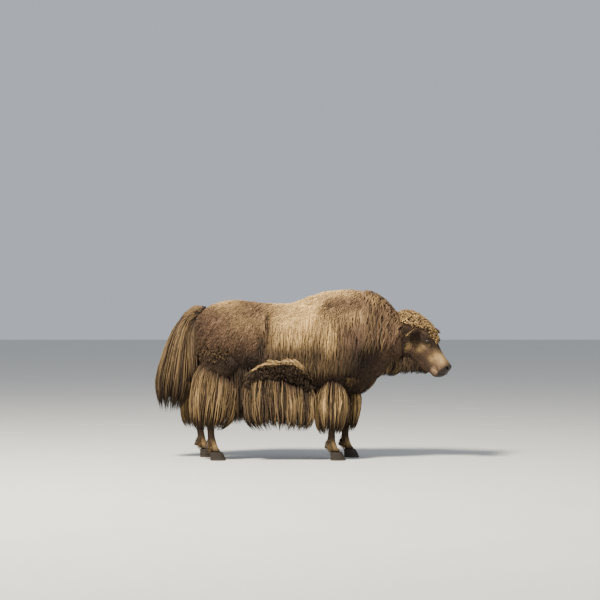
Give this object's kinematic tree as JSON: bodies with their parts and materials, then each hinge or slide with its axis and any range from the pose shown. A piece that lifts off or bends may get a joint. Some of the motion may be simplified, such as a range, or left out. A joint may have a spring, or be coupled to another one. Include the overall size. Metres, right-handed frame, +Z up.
{
  "type": "yak",
  "caption": "Standing hornless domestic yak bull at life size, head lowered and turned to its right, with a long coat to the hocks.",
  "frame": {"origin": "centre of the bounding box in plan, on the floor under the soles", "axes": "+X towards the head, +Y to the animal's left, +Z up"},
  "size_m": [2.3696, 0.6884, 1.3776],
  "materials": {
    "coat": "rough hair",
    "horn": "dull horn",
    "dewclaw": "dull horn",
    "eye": "wet gloss"
  },
  "bodies": {
    "root": {"dewclaw_fore_left_inner": "dewclaw", "dewclaw_fore_left_outer": "dewclaw", "dewclaw_fore_right_inner": "dewclaw", "dewclaw_fore_right_outer": "dewclaw", "dewclaw_hind_left_inner": "dewclaw", "dewclaw_hind_left_outer": "dewclaw", "dewclaw_hind_right_inner": "dewclaw", "dewclaw_hind_right_outer": "dewclaw", "ear_left": "coat", "ear_right": "coat", "eye_left": "eye", "eye_right": "eye", "flank_left": "coat", "flank_right": "coat", "foreleg_left": "coat", "foreleg_right": "coat", "head": "coat", "hindleg_left": "coat", "hindleg_right": "coat", "hoof_fore_left_inner": "horn", "hoof_fore_left_outer": "horn", "hoof_fore_right_inner": "horn", "hoof_fore_right_outer": "horn", "hoof_hind_left_inner": "horn", "hoof_hind_left_outer": "horn", "hoof_hind_right_inner": "horn", "hoof_hind_right_outer": "horn", "neck": "coat", "tail": "coat", "torso": "coat"}
  },
  "joints": []
}
